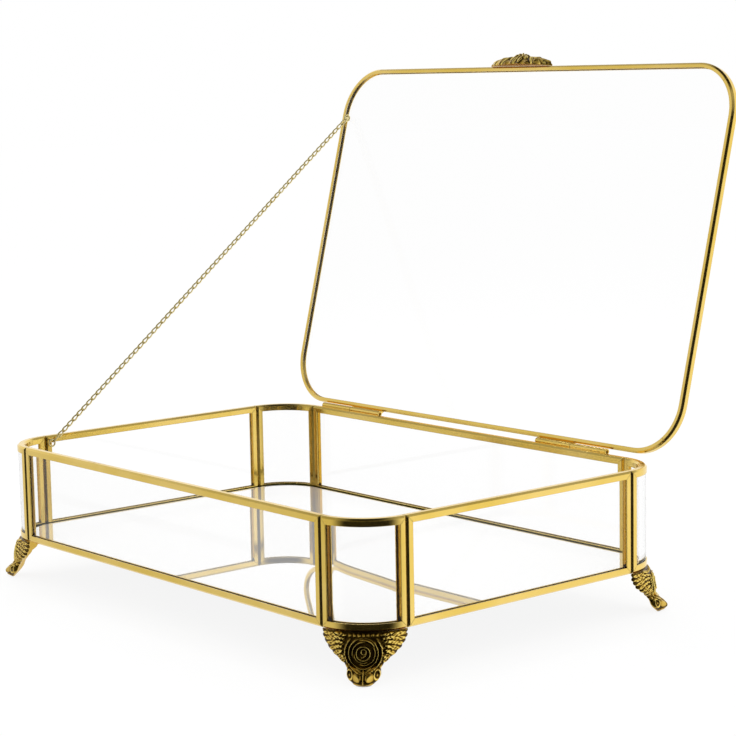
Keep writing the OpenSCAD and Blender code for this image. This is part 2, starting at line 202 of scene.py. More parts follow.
@dataclass(frozen=True)
class PolishedBrass:
    """Yellow brass, polished and lacquered.

    Rolled channel is smooth and mirror-like, with faint waves left by rolling and hand polishing
    that break up long reflections, and a slight change of tone along it. Drawn wire is paler, with
    a duller skin and finer waves.
    """

    name: str
    pale: str = "#F8D87E"
    deep: str = "#ECC95C"
    roughness: Pair = (0.09, 0.2)
    tone_mm: float = 38.0  # length of a patch of one tone
    wave_mm: float = 7.0  # length of a polishing wave
    wave_depth_mm: float = 0.012
    grain_mm: float = 0.9  # fine scratches, drawn coarser than real ones so that they show
    grain_depth_mm: float = 0.0012
    edge_mm: float = 0.4  # radius that bending and polishing leave on the edges

    def build(self) -> bpy.types.Material:
        """Make the material."""
        material, tree = new_material(self.name)
        place = add_node(tree, "ShaderNodeTexCoord").outputs["Object"]
        colour = ramp(tree, noise(tree, place, self.tone_mm, 3.0, 0.55),
                      [(0.30, linear(self.deep)), (0.68, linear(self.pale))])
        grain = noise(tree, place, self.grain_mm, 4.0, 0.6)
        soft = add_node(tree, "ShaderNodeBevel", {"samples": 4, "Radius": self.edge_mm * MM})
        rolled = bump(tree, noise(tree, place, self.wave_mm), self.wave_depth_mm,
                      normal=soft.outputs["Normal"])
        shader = add_node(tree, "ShaderNodeBsdfPrincipled", {"Metallic": 1.0}, {
            "Base Color": colour, "Roughness": stretch(tree, grain, (0.3, 0.7), self.roughness),
            "Normal": bump(tree, grain, self.grain_depth_mm, normal=rolled)})
        finish_tree(tree, shader.outputs["BSDF"])
        return material


@dataclass(frozen=True)
class CastBrass:
    """Sand-cast brass, dark in its hollows and polished on its ridges.

    The piece's own attribute "relief" runs from 0 in the hollows to 1 on the crests: old polish and
    tarnish stay low, which makes the leaves and petals read.
    """

    name: str
    crest: str = "#F7DA74"
    slope: str = "#C7A141"
    hollow: str = "#46330E"
    grain_mm: float = 0.7  # casting grit, drawn as coarse as it needs to show
    grain_depth_mm: float = 0.03
    uneven: float = 0.22  # how far the grit shifts the polish
    roughness: Pair = (0.34, 0.14)  # in the hollows and on the crests

    def build(self) -> bpy.types.Material:
        """Make the material."""
        material, tree = new_material(self.name)
        place = add_node(tree, "ShaderNodeTexCoord").outputs["Object"]
        relief = add_node(tree, "ShaderNodeAttribute", {"attribute_name": "relief"})
        grit = noise(tree, place, self.grain_mm, 4.0, 0.6)
        shifted = add_node(tree, "ShaderNodeMath", {"operation": "MULTIPLY_ADD", 1: self.uneven},
                           {0: grit, 2: relief.outputs["Fac"]})
        height = add_node(tree, "ShaderNodeMath", {"operation": "SUBTRACT", 1: self.uneven / 2},
                          {0: shifted.outputs["Value"]}).outputs["Value"]
        colour = ramp(tree, height, [(0.10, linear(self.hollow)), (0.42, linear(self.slope)),
                                     (0.72, linear(self.crest))])
        shader = add_node(tree, "ShaderNodeBsdfPrincipled", {"Metallic": 1.0}, {
            "Base Color": colour, "Roughness": stretch(tree, height, (0.1, 0.8), self.roughness),
            "Normal": bump(tree, grit, self.grain_depth_mm)})
        finish_tree(tree, shader.outputs["BSDF"])
        return material


@dataclass(frozen=True)
class SheetGlass:
    """Clear float glass, with the slight unevenness of a sheet that shows only in reflections."""

    name: str
    ior: float = 1.3  # below real glass, whose reflections the photograph hardly shows
    wave_mm: float = 90.0
    wave_depth_mm: float = 0.02

    def build(self) -> bpy.types.Material:
        """Make the material, which lets lamps and soft light through to what stands behind it."""
        material, tree = new_material(self.name)
        place = add_node(tree, "ShaderNodeTexCoord").outputs["Object"]
        wave = noise(tree, place, self.wave_mm, 1.0)
        shader = add_node(tree, "ShaderNodeBsdfPrincipled",
                          {"Base Color": WHITE, "Roughness": 0.0, "IOR": self.ior,
                           "Transmission Weight": 1.0},
                          {"Normal": bump(tree, wave, self.wave_depth_mm)})
        clear = add_node(tree, "ShaderNodeBsdfTransparent")
        path = add_node(tree, "ShaderNodeLightPath")
        soft = add_node(tree, "ShaderNodeMath", {"operation": "MAXIMUM"},
                        {0: path.outputs["Is Shadow Ray"], 1: path.outputs["Is Diffuse Ray"]})
        finish_tree(tree, mixed(tree, soft.outputs["Value"], shader, clear).outputs["Shader"])
        return material


@dataclass(frozen=True)
class SilveredMirror:
    """Silvered glass laid face up: a bright mirror above and a ground, greenish edge."""

    name: str
    veil: float = 0.26  # share of light that dust on the face scatters
    haze_mm: float = 24.0
    edge_grain_mm: float = 0.5

    def build(self) -> bpy.types.Material:
        """Make the material."""
        material, tree = new_material(self.name)
        place = add_node(tree, "ShaderNodeTexCoord").outputs["Object"]
        haze = noise(tree, place, self.haze_mm, 4.0)
        bright = add_node(tree, "ShaderNodeBsdfPrincipled", {"Base Color": WHITE, "Metallic": 1.0},
                          {"Roughness": stretch(tree, haze, (0.45, 0.8), (0.0, 0.03))})
        dust = add_node(tree, "ShaderNodeBsdfDiffuse", {"Color": WHITE})
        silver = add_node(tree, "ShaderNodeMixShader", {0: self.veil}, {
            1: bright.outputs["BSDF"], 2: dust.outputs["BSDF"]})
        edge_colour = ramp(tree, noise(tree, place, self.edge_grain_mm),
                           [(0.3, linear("#22322C")), (0.7, linear("#3E5A50"))])
        edge = add_node(tree, "ShaderNodeBsdfPrincipled", {"Roughness": 0.45},
                        {"Base Color": edge_colour})
        normal = add_node(tree, "ShaderNodeSeparateXYZ", links={
            0: add_node(tree, "ShaderNodeNewGeometry").outputs["Normal"]})
        upward = add_node(tree, "ShaderNodeMath", {"operation": "GREATER_THAN", 1: 0.5},
                          {0: normal.outputs["Z"]})
        finish_tree(tree, mixed(tree, upward.outputs["Value"], edge, silver).outputs["Shader"])
        return material


@dataclass(frozen=True)
class BlackFelt:
    """Pressed black felt: matt, with short fibres that catch a little light."""

    name: str
    fibre_mm: float = 0.6  # drawn coarser than real fibres so that it shows
    nap_mm: float = 0.15

    def build(self) -> bpy.types.Material:
        """Make the material."""
        material, tree = new_material(self.name)
        place = add_node(tree, "ShaderNodeTexCoord").outputs["Object"]
        fibre = noise(tree, place, self.fibre_mm, 6.0, 0.75)
        colour = ramp(tree, fibre, [(0.35, linear("#0B0B0B")), (0.7, linear("#1E1D1C"))])
        shader = add_node(tree, "ShaderNodeBsdfPrincipled",
                          {"Roughness": 0.95, "Sheen Weight": 0.25},
                          {"Base Color": colour, "Normal": bump(tree, fibre, self.nap_mm, 0.8)})
        finish_tree(tree, shader.outputs["BSDF"])
        return material


# ---------- meshes


def unit(v: np.ndarray) -> np.ndarray:
    """Scale vectors along the last axis to length 1."""
    return v / np.maximum(np.linalg.norm(v, axis=-1, keepdims=True), 1e-12)


def mesh_object(name: str, points: np.ndarray, quads: np.ndarray, material: bpy.types.Material,
                relief: np.ndarray | None = None) -> bpy.types.Object:
    """Make an object at the origin from points and four-cornered faces.

    Args:
        name: the object's and mesh's name.
        points: (n, 3) places in metres.
        quads: (m, 4) point numbers, counter-clockwise from outside.
        material: its only material.
        relief: (n,) heights from 0 to 1 for the attribute "relief".

    Returns:
        The linked object.
    """
    mesh = bpy.data.meshes.new(name)
    count = len(quads)
    mesh.vertices.add(len(points))
    mesh.vertices.foreach_set("co", points.astype(np.float32).ravel())
    mesh.loops.add(4 * count)
    mesh.loops.foreach_set("vertex_index", quads.astype(np.int32).ravel())
    mesh.polygons.add(count)
    mesh.polygons.foreach_set("loop_start", np.arange(0, 4 * count, 4, dtype=np.int32))
    mesh.polygons.foreach_set("use_smooth", np.ones(count, bool))
    mesh.update(calc_edges=True)
    if relief is not None:
        values = mesh.attributes.new("relief", "FLOAT", "POINT")
        values.data.foreach_set("value", relief.astype(np.float32))
    mesh.materials.append(material)
    piece = bpy.data.objects.new(name, mesh)
    bpy.context.scene.collection.objects.link(piece)
    return piece


def grid_quads(rows: int, columns: int, wrap_rows: bool = False,
               wrap_columns: bool = False) -> np.ndarray:
    """Number the faces of a grid of points.

    Args:
        rows: points along the first axis.
        columns: points along the second axis.
        wrap_rows: whether the last row joins the first.
        wrap_columns: whether the last column joins the first.

    Returns:
        (m, 4) point numbers.
    """
    i, j = np.meshgrid(np.arange(rows if wrap_rows else rows - 1),
                       np.arange(columns if wrap_columns else columns - 1), indexing="ij")
    i, j = i.ravel() * columns, j.ravel()
    below, right = (i + columns) % (rows * columns), (j + 1) % columns
    return np.stack([i + j, below + j, below + right, i + right], axis=1)


def slab(front: np.ndarray, back: np.ndarray) -> tuple[np.ndarray, np.ndarray]:
    """Close a front and a back grid of the same size into one solid plate.

    Args:
        front: (rows, columns, 3) points of the outer face.
        back: (rows, columns, 3) points of the inner face.

    Returns:
        Points and quads, with the two faces and a rim between their edges.
    """
    rows, columns = front.shape[:2]
    n = rows * columns
    face = grid_quads(rows, columns)
    ids = np.arange(n).reshape(rows, columns)
    edge = np.concatenate([ids[0, :-1], ids[:-1, -1], ids[-1, :0:-1], ids[:0:-1, 0]])
    after = np.roll(edge, -1)
    rim = np.stack([edge, after, after + n, edge + n], axis=1)
    quads = np.concatenate([face, face[:, ::-1] + n, rim])
    return np.concatenate([front.reshape(-1, 3), back.reshape(-1, 3)]), quads


def outward(points: np.ndarray, quads: np.ndarray) -> np.ndarray:
    """Turn a closed solid's faces outwards if its signed volume is negative."""
    a, b, c, d = (points[quads[:, i]] for i in range(4))
    volume = (np.einsum("ij,ij->i", a, np.cross(b, c))
              + np.einsum("ij,ij->i", a, np.cross(c, d))).sum()
    return quads if volume > 0 else quads[:, ::-1]


def ridge(x: np.ndarray, y: np.ndarray, path: list[Pair], width: float,
          height: float) -> np.ndarray:
    """Raise a rounded ridge along a path.

    Args:
        x: places across.
        y: places along.
        path: corner points of the path.
        width: distance from the path at which the bell-shaped ridge has fallen to about a third.
        height: the ridge's height.

    Returns:
        The height at each place.
    """
    points = np.array(path, float)
    out = np.zeros_like(x)
    for p, q in zip(points[:-1], points[1:]):
        d = q - p
        t = np.clip(((x - p[0]) * d[0] + (y - p[1]) * d[1]) / (d @ d), 0, 1)
        gap = np.hypot(x - p[0] - t * d[0], y - p[1] - t * d[1])
        out = np.maximum(out, height * np.exp(-((gap / width) ** 2)))
    return out


def blade(x: np.ndarray, y: np.ndarray, root: Pair, tip: Pair, width: float,
          height: float) -> np.ndarray:
    """Raise a pointed leaf with a sunken vein.

    Args:
        x: places across.
        y: places along.
        root: the leaf's foot.
        tip: its point.
        width: half its greatest width.
        height: its crown over the ground.

    Returns:
        The height at each place, 0 outside the leaf.
    """
    axis = np.array(tip, float) - np.array(root, float)
    length = float(np.hypot(*axis))
    along = ((x - root[0]) * axis[0] + (y - root[1]) * axis[1]) / length**2
    across = ((y - root[1]) * axis[0] - (x - root[0]) * axis[1]) / length
    inside = np.clip(along, 0, 1)
    half = width * np.maximum(np.sin(np.pi * inside**0.75), 0) ** 0.7 + 1e-6
    crown = np.sqrt(np.maximum(0, 1 - (across / half) ** 2)) * ((along > 0) & (along < 1))
    vein = 0.3 * np.exp(-((across / (0.16 * width)) ** 2)) * inside
    return height * crown * (0.72 + 0.28 * inside - vein)


def standing(height: np.ndarray, down: int, across: int) -> np.ndarray:
    """How far each place of a grid stands over the mean of its surroundings."""
    near = (np.roll(height, down, 0) + np.roll(height, -down, 0) + np.roll(height, across, 1)
            + np.roll(height, -across, 1)) / 4
    return height - near


def curve(t: np.ndarray, stops: list[Pair]) -> np.ndarray:
    """A smooth curve through stops, each a place and a value, that never overshoots them."""
    places, values = (np.array(row, float) for row in zip(*stops))
    step = np.diff(places)
    slope = np.diff(values) / step
    tangent = np.zeros(len(stops))
    turn = slope[:-1] * slope[1:] > 0
    tangent[1:-1][turn] = (2 * slope[:-1] * slope[1:])[turn] / (slope[:-1] + slope[1:])[turn]
    tangent[0], tangent[-1] = slope[0], slope[-1]
    k = np.clip(np.searchsorted(places, t, side="right") - 1, 0, len(step) - 1)
    u = (t - places[k]) / step[k]
    return ((1 + 2 * u) * (1 - u) ** 2 * values[k] + u * (1 - u) ** 2 * step[k] * tangent[k]
            + u**2 * (3 - 2 * u) * values[k + 1] - u**2 * (1 - u) * step[k] * tangent[k + 1])


def bow(p: Pair, q: Pair, r: Pair) -> list[Pair]:
    """Nine points of the quadratic curve from p to r that bends towards q."""
    t = np.linspace(0, 1, 9)[:, None]
    points = (1 - t) ** 2 * np.array(p) + 2 * t * (1 - t) * np.array(q) + t**2 * np.array(r)
    return [tuple(point) for point in points]


# ---------- sub-assemblies


@dataclass
class Casket:
    """Sizes that the dressed pieces share with the solids, in millimetres."""

    width_mm: float = 280.0
    depth_mm: float = 185.0
    wall_mm: float = 47.0
    floor_mm: float = 2.5
    corner_mm: float = 25.4
    lid_angle: float = 104.5
    hinge_y_mm: float = 94.1
    hinge_z_mm: float = 44.8
    lid_z_mm: float = 45.1
    came_mm: float = 4.0
    came_w_mm: float = 3.3

    def open_lid(self, points: np.ndarray) -> np.ndarray:
        """Turn points of the closed lid about the hinge to the open rest pose, in millimetres."""
        a = math.radians(self.lid_angle)
        y, z = points[..., 1] - self.hinge_y_mm, points[..., 2] - self.hinge_z_mm
        return np.stack([points[..., 0], self.hinge_y_mm + y * math.cos(a) + z * math.sin(a),
                         self.hinge_z_mm - y * math.sin(a) + z * math.cos(a)], axis=-1)


@dataclass
class CastFeet:
    """Four cast feet: a rose between acanthus leaves over a neck and a thick scrolled toe.

    Three profiles run from the top at 0 to the ground at 1: half the width, and how far the face
    and the back stand out from the corner's curved surface, in millimetres.
    """

    casket: Casket
    finish: bpy.types.Material
    height_mm: float = 21.0
    rose_mm: float = 6.1
    rose_drop_mm: float = 8.0
    rows: int = 170
    columns: int = 220
    half_span_mm: float = 15.0  # where the fall back towards the sides is complete
    play_mm: float = 0.06  # left between the foot and the walls' planes
    edge_mm: float = 0.15  # least thickness
    outline: list[Pair] = field(default_factory=lambda: [
        (0.0, 17.2), (0.1, 17.2), (0.34, 14.8), (0.45, 12.4), (0.55, 9.7), (0.64, 7.8),
        (0.71, 7.2), (0.79, 7.3), (0.87, 6.5), (0.94, 4.9), (1.0, 3.2)])
    face: list[Pair] = field(default_factory=lambda: [
        (0.0, -0.6), (0.1, 1.5), (0.28, 2.5), (0.5, 3.3), (0.6, 3.0), (0.68, 4.2), (0.77, 6.6),
        (0.88, 8.4), (0.96, 7.7), (1.0, 6.6)])
    back: list[Pair] = field(default_factory=lambda: [
        (0.0, -2.3), (0.1, -1.0), (0.28, 0.0), (0.5, 0.6), (0.6, 0.6), (0.68, 1.4), (0.77, 2.2),
        (0.88, 3.0), (0.96, 3.9), (1.0, 4.6)])

    def half_width(self, t: np.ndarray) -> np.ndarray:
        """Half the foot's width at depth t from 0 to 1, with lobes along the leaves' edges."""
        lobes = 0.6 * np.abs(np.sin(np.pi * (t * 9.5 + 0.2))) * np.clip((0.68 - t) / 0.1, 0, 1)
        return curve(t, self.outline) - 0.2 + lobes

    def rose(self, x: np.ndarray, z: np.ndarray) -> np.ndarray:
        """Height of the rose, with x and z measured from its middle."""
        r = np.hypot(x, z)
        angle = np.arctan2(z, x)

        def line(radius: float, width: float, middle: float, spread: float) -> np.ndarray:
            """A thin arc about the direction middle that fades out at spread degrees from it."""
            away = np.abs((np.degrees(angle) - middle + 180) % 360 - 180)
            return np.exp(-(((r - radius) / width) ** 2)) * np.clip((spread - away) / 25, 0, 1)

        rim = 1.35 * line(self.rose_mm, 0.36, -100, 150)
        petals = np.maximum.reduce([
            0.95 * line(4.5, 0.30, 145, 70), 0.95 * line(4.8, 0.30, -35, 75),
            0.85 * line(5.2, 0.28, 60, 50), 0.85 * line(3.9, 0.28, -120, 60)])
        bud = np.maximum(1.15 * line(2.8, 0.36, 90, 200),
                         0.95 * np.exp(-(((np.hypot(x - 0.2, z - 0.7) - 1.05) / 0.3) ** 2)))
        heart = 0.9 * ridge(x, z, bow((1.2, 0.3), (0.9, -1.5), (-0.7, -1.6)), 0.3, 1.0)
        return (0.25 * (r < self.rose_mm)
                + np.maximum.reduce([rim, petals, bud, heart]) * (r < self.rose_mm + 1.0))

    def leaves(self, side: np.ndarray, z: np.ndarray) -> np.ndarray:
        """Height of one side's acanthus leaflets, the stem round the rose and the top's beads."""
        outer = [((11.8, -1.6), (17.6, -1.5)), ((11.6, -2.9), (17.4, -3.8)),
                 ((11.1, -4.3), (16.4, -6.1)), ((10.5, -5.8), (15.0, -8.3)),
                 ((9.8, -7.4), (13.2, -10.2)), ((9.0, -8.9), (11.2, -11.9)),
                 ((8.0, -10.2), (9.4, -13.4))]
        inner = [((7.6, -1.2), (12.2, -0.6)), ((8.0, -2.5), (12.9, -2.1)),
                 ((8.5, -3.9), (12.6, -4.2)), ((8.8, -5.5), (12.0, -6.5)),
                 ((8.8, -7.2), (11.0, -8.8)), ((8.0, -9.0), (9.5, -10.9))]
        out = np.zeros_like(side)
        for root, tip in outer:
            out = np.maximum(out, blade(side, z, root, tip, 0.98, 1.05))
        for root, tip in inner:
            out = np.maximum(out, blade(side, z, root, tip, 0.72, 1.35))
        turn = np.degrees(np.arctan2(z + self.rose_drop_mm, side))
        r = np.hypot(side, z + self.rose_drop_mm)
        stem = (1.5 * np.exp(-(((r - 7.7) / 0.42) ** 2)) * np.clip((turn + 82) / 12, 0, 1)
                * np.clip((48 - turn) / 20, 0, 1))
        beads = (0.8 * np.exp(-((((side - 0.9) % 1.9 - 0.95) / 0.6) ** 2))
                 * np.exp(-(((z + 1.1) / 0.55) ** 2)) * (side < 7.8))
        return np.maximum.reduce([out, stem, beads])

    def toe(self, side: np.ndarray, z: np.ndarray) -> np.ndarray:
        """Height of the toe's buds, scrolls, knobs, sprigs, middle crest and lower roll."""
        buds = 1.35 * np.sqrt(np.maximum(
            0, 1 - ((side - 2.6) / 1.9) ** 2 - ((z + 17.1) / 1.9) ** 2))
        q = np.hypot((side - 5.7) / 1.0, (z + 16.5) / 1.55)
        scroll = 1.2 * np.exp(-(((q - 1.2) / 0.3) ** 2)) + 0.6 * np.exp(-((q / 0.35) ** 2))
        knob = np.exp(-(((side - 6.9) / 0.9) ** 2 + ((z + 13.9) / 0.9) ** 2))
        crest = ridge(side, z, [(0.0, -14.6), (0.0, -19.4)], 0.38, 1.0)
        sprigs = np.maximum(blade(side, z, (0.2, -15.4), (3.1, -13.9), 0.55, 1.1),
                            blade(side, z, (0.6, -15.9), (5.6, -13.4), 0.6, 1.0))
        roll = 0.7 * np.exp(-(((z + 19.9) / 0.6) ** 2)) * np.clip((4.6 - side) / 0.8, 0, 1)
        return np.maximum.reduce([buds, scroll, knob, crest, sprigs, roll])

    def relief(self, x: np.ndarray, z: np.ndarray) -> np.ndarray:
        """Height of the carving over the plate in millimetres.

        Args:
            x: distance across from the middle.
            z: height, from 0 at the top down to minus the foot's height.

        Returns:
            The greatest of the rose, the leaves and the toe.
        """
        side = np.abs(x)
        leaves = self.leaves(side, z)
        curls = 0.5 + (0.5 * np.sin(2.9 * x + 1.3 * np.sin(2.1 * z))
                       * np.sin(3.4 * z + np.sin(1.7 * x)))
        leaves = leaves * (0.55 + 0.6 * curls) + 0.25 * curls * (side > 7.6) * (z > -13.5)
        return np.maximum.reduce([self.rose(x, z + self.rose_drop_mm), leaves, self.toe(side, z)])

    def foot(self, name: str, turn: float) -> bpy.types.Object:
        """Build one foot.

        Face and back are grids over the outline, set out from the corner's axis by their profiles.
        Both fall back towards the sides, so that the foot stays within the walls' planes, and the
        carving stands on the face.

        Args:
            name: the piece's name.
            turn: degrees from +X to the start of its quarter circle.

        Returns:
            The foot as one closed solid.
        """
        t = np.linspace(0, 1, self.rows)[:, None]
        u = np.linspace(-1, 1, self.columns)[None, :]
        x = u * self.half_width(t)
        z = -self.height_mm * t + 0 * u
        height = self.relief(x, z)
        face, back = curve(t, self.face) + 0 * u, curve(t, self.back) + 0 * u
        middle, half = (face + back) / 2, (face - back) / 2
        # The sides are rounded off, the more so towards the toe, and get thinner and fall back.
        round_off = np.maximum(0, 1 - np.abs(u) ** (2.6 + 5 * (1 - t))) ** 0.5
        aside = np.minimum(1, np.abs(x) / self.half_span_mm)
        half = half * (1 - 0.3 * aside)
        sag = (middle + 0.5) * aside**1.4
        # The carving fades out just inside the outline.
        carve = height * np.clip((1 - np.abs(u)) / 0.05, 0, 1) ** 0.5 * np.clip(t / 0.03, 0, 1)
        carve *= np.clip((1 - t) / 0.04, 0, 1) ** 0.5
        r = self.casket.corner_mm
        bearing = np.arcsin(np.clip(x / (r + middle), -1, 1))
        limit = r / np.cos(np.pi / 4 - np.minimum(np.abs(bearing), np.pi / 4)) - self.play_mm
        outer = np.minimum(r + middle - sag + half * round_off + carve, limit)
        inner = np.minimum(r + middle - sag - half * round_off, outer - self.edge_mm)
        front = np.stack([np.sqrt(outer**2 - x**2), x, z], axis=-1)
        rear = np.stack([np.sqrt(inner**2 - x**2), x, z], axis=-1)
        front[..., 2] = np.clip(front[..., 2], -self.height_mm, -0.02)
        rear[..., 2] = np.clip(rear[..., 2], -self.height_mm, -0.02)
        points, quads = slab(front, rear)
        a = math.radians(turn + 45)
        c, s = math.cos(a), math.sin(a)
        sx, sy = math.copysign(1, c), math.copysign(1, s)
        centre = np.array([sx * (self.casket.width_mm / 2 - r), sy * (self.casket.depth_mm / 2 - r),
                           -self.casket.floor_mm])
        placed = np.stack([points[:, 0] * c - points[:, 1] * s,
                           points[:, 0] * s + points[:, 1] * c, points[:, 2]], axis=1) + centre
        polish = 0.1 + 0.32 * height + 0.75 * standing(height, 4, 4)
        tone = np.concatenate([np.clip(polish, 0, 1).ravel(), np.full(front.size // 3, 0.45)])
        return mesh_object(name, placed * MM, outward(placed, quads), self.finish, tone)

    def build(self) -> list[bpy.types.Object]:
        """Build the four feet in place of their plain solids."""
        made = []
        for node, turn in (("foot_fl", 180), ("foot_fr", 270), ("foot_br", 0), ("foot_bl", 90)):
            piece = self.foot("cast_" + node, turn)
            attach(piece, Body.BOX.value)
            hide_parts(node)
            made.append(piece)
        return made


@dataclass
class LidFlower:
    """The cast rose and leaves that stand on the web of the lid's free edge as a finger lift."""

    casket: Casket
    finish: bpy.types.Material
    width_mm: float = 44.0
    across_mm: float = 12.0
    relief_mm: float = 6.9
    plate_mm: float = 0.5
    stand_mm: float = 0.4  # from the wall's plane to the plate
    shift_mm: float = -6.0  # it was soldered on off the middle
    rows: int = 110
    columns: int = 260

    def half_height(self, s: np.ndarray) -> np.ndarray:
        """Half the outline's extent across the edge at s from -1 to 1 along it, with leaf lobes."""
        body = np.maximum(0, 1 - np.abs(s) ** 2.6) ** 0.6
        lobes = 1 - 0.16 * np.abs(np.cos(np.pi * 4.5 * s))
        return self.across_mm / 2 * body * lobes * (1 - 0.35 * np.abs(s))

    def relief(self, x: np.ndarray, y: np.ndarray) -> np.ndarray:
        """Height of the rose, its petals and the leaves over the back plate.

        Args:
            x: distance along the lid's edge from the middle.
            y: distance across the edge.

        Returns:
            The height in millimetres.
        """
        side = np.abs(x)
        mound = (0.9 + 3.3 * np.exp(-((x / 11) ** 2)) * np.exp(-((y / 5.8) ** 2))
                 + np.exp(-(((side - 14) / 4.5) ** 2)) * np.exp(-((y / 4.5) ** 2)))
        leaves = np.zeros_like(x)
        for number in range(7):
            turn = math.radians(-72 + 24 * number)
            root = (8.0 + 2.2 * math.cos(turn), 1.2 * math.sin(turn))
            tip = (14.5 + 6.6 * math.cos(turn), 6.2 * math.sin(turn))
            leaves = np.maximum(leaves, blade(side, y, root, tip, 1.15, 1.3))
        for number in range(5):
            turn = math.radians(-64 + 32 * number)
            root = (6.2 + math.cos(turn), 0.8 * math.sin(turn))
            tip = (9.5 + 4.2 * math.cos(turn), 4.6 * math.sin(turn))
            leaves = np.maximum(leaves, blade(side, y, root, tip, 1.0, 1.8))
        rose = np.zeros_like(x)
        for count, radius, size, rise in (
                (9, 5.4, 1.5, 1.5), (7, 3.7, 1.25, 2.0), (5, 2.1, 1.0, 2.4)):
            for number in range(count):
                turn = 2 * math.pi * (number + 0.4 * (count % 4)) / count
                foot = (0.35 * radius * math.cos(turn), 0.35 * radius * math.sin(turn))
                tip = (1.15 * radius * math.cos(turn), 1.15 * radius * math.sin(turn))
                rose = np.maximum(rose, blade(x, y, foot, tip, size, rise))
        heart = 2.5 * np.exp(-((np.hypot(x, y) / 0.9) ** 2))
        return mound + np.maximum.reduce([rose, heart, leaves])

    def build(self) -> bpy.types.Object:
        """Build the flower in place of its plain solid."""
        s = np.linspace(-1, 1, self.columns)[None, :]
        v = np.linspace(-1, 1, self.rows)[:, None]
        x = s * self.width_mm / 2 + 0 * v
        y = v * np.maximum(self.half_height(s), 0.05)
        carved = self.relief(x, y)
        rim = (1 - np.abs(v) ** 2.4) ** 0.6 * np.clip((1 - np.abs(s)) / 0.08, 0, 1) ** 0.5
        height = self.plate_mm + np.minimum(carved, self.relief_mm - self.plate_mm) * rim
        face = -self.casket.depth_mm / 2 - self.stand_mm
        middle = self.casket.lid_z_mm + self.casket.came_mm / 2
        front = np.stack([x + self.shift_mm, face - height, middle + y], axis=-1)
        back = np.stack([x + self.shift_mm, np.full_like(x, face), middle + y], axis=-1)
        points, quads = slab(front, back)
        placed = self.casket.open_lid(points)
        polish = 0.45 + 1.3 * standing(carved, 4, 6)
        tone = np.concatenate([np.clip(polish, 0, 1).ravel(), np.full(x.size, 0.4)])
        piece = mesh_object("cast_flower", placed * MM, outward(placed, quads), self.finish, tone)
        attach(piece, Body.LID.value)
        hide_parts("lid_flower")
        return piece


